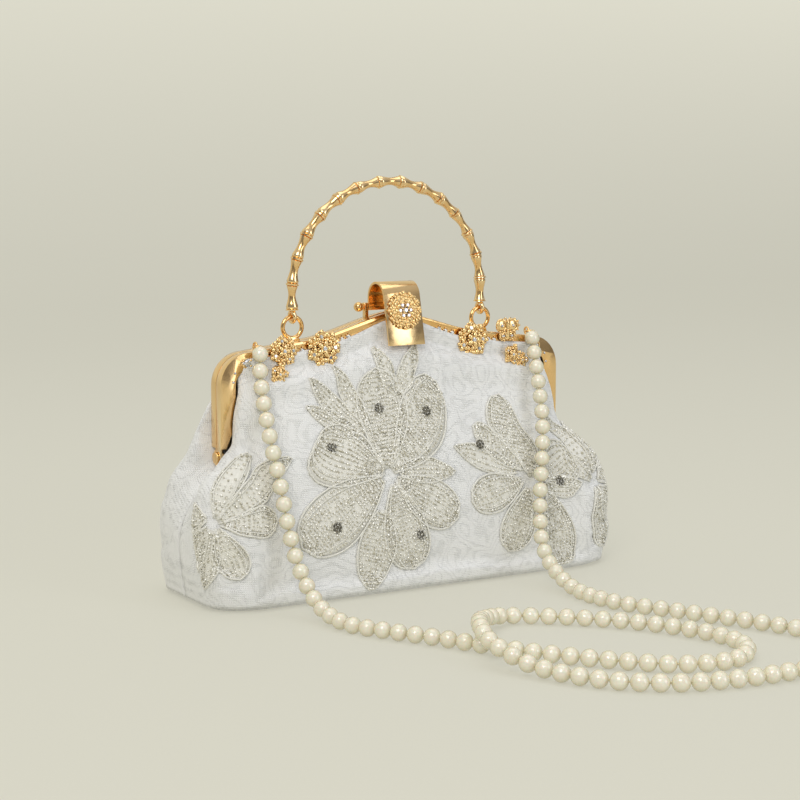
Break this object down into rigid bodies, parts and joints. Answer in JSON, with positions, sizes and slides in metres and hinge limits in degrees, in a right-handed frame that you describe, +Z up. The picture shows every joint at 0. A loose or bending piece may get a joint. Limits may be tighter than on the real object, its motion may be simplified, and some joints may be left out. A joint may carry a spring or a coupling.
{
  "type": "evening bag",
  "caption": "Framed evening bag in pale brocade with beaded lace, arched top handle, lift-over clasp and a pearl shoulder strap.",
  "frame": {"origin": "middle of the flat base, on the surface the bag stands on", "axes": "+X along the width towards the right seen from the front, -Y out of the front, +Z up"},
  "size_m": [0.2363, 0.2983, 0.2052],
  "materials": {
    "gold_plate": "polished light gold plate",
    "cast_gold": "cast, light gold plate",
    "crystal": "cut glass rhinestones, foiled behind",
    "steel": "nickel-plated magnet and catch",
    "brocade": "off-white brocade, tone-on-tone scrolls",
    "satin_lining": "ivory satin",
    "paper_cord": "twisted paper cord",
    "board": "grey board stiffener",
    "beaded_lace": "silver-lined seed beads and sequins on net",
    "pearl": "imitation pearl, ivory lustre"
  },
  "bodies": {
    "bag": {"front_channel": "gold_plate", "front_trim_strip": "cast_gold", "front_packing_cord": "paper_cord", "hinge_rivets": "gold_plate", "left_strap_eye": "gold_plate", "right_strap_eye": "gold_plate", "left_jump_ring": "gold_plate", "right_jump_ring": "gold_plate", "left_bead_cap": "gold_plate", "right_bead_cap": "gold_plate", "catch_plate": "steel", "left_outer_blossom": "cast_gold", "left_inner_blossom": "cast_gold", "right_inner_blossom": "cast_gold", "right_outer_blossom": "cast_gold", "butterfly": "cast_gold", "frame_stones": "crystal", "shoulder_stones": "crystal", "front_panel": "brocade", "back_panel": "brocade", "base_panel": "brocade", "base_board": "board", "lining_front": "satin_lining", "lining_back": "satin_lining", "inner_pocket": "satin_lining", "centre_applique": "beaded_lace", "left_applique": "beaded_lace", "right_applique": "beaded_lace", "corner_applique": "beaded_lace", "applique_stones": "crystal", "pearl_strap": "pearl"},
    "back_frame": {"back_channel": "gold_plate", "back_packing_cord": "paper_cord", "back_panel_mouth": "brocade", "lining_mouth": "satin_lining", "left_handle_lug": "gold_plate", "right_handle_lug": "gold_plate", "clasp_bracket": "gold_plate", "clasp_pin": "gold_plate", "clasp_pin_knobs": "gold_plate"},
    "handle": {"handle": "gold_plate", "handle_knots": "gold_plate"},
    "clasp": {"clasp_tongue": "gold_plate", "clasp_flower": "cast_gold", "clasp_stones": "crystal", "clasp_magnet": "steel"}
  },
  "joints": [
    {"name": "frame_open", "type": "hinge", "parent": "bag", "child": "back_frame", "pos_m": [0, 0, 0.069], "axis": [-1, 0, 0], "range_deg": [0, 38], "deforming": ["back_panel_mouth", "lining_mouth"]},
    {"name": "tongue_lift", "type": "hinge", "parent": "back_frame", "child": "clasp", "pos_m": [0, 0.005, 0.13869], "axis": [-1, 0, 0], "range_deg": [0, 118]},
    {"name": "handle_swing", "type": "hinge", "parent": "back_frame", "child": "handle", "pos_m": [0, 0.003, 0.13567], "axis": [1, 0, 0], "range_deg": [-70, 70]}
  ],
  "couplings": [
    {"joint": "tongue_lift", "follows": "frame_open", "ratio": 3.1}
  ]
}
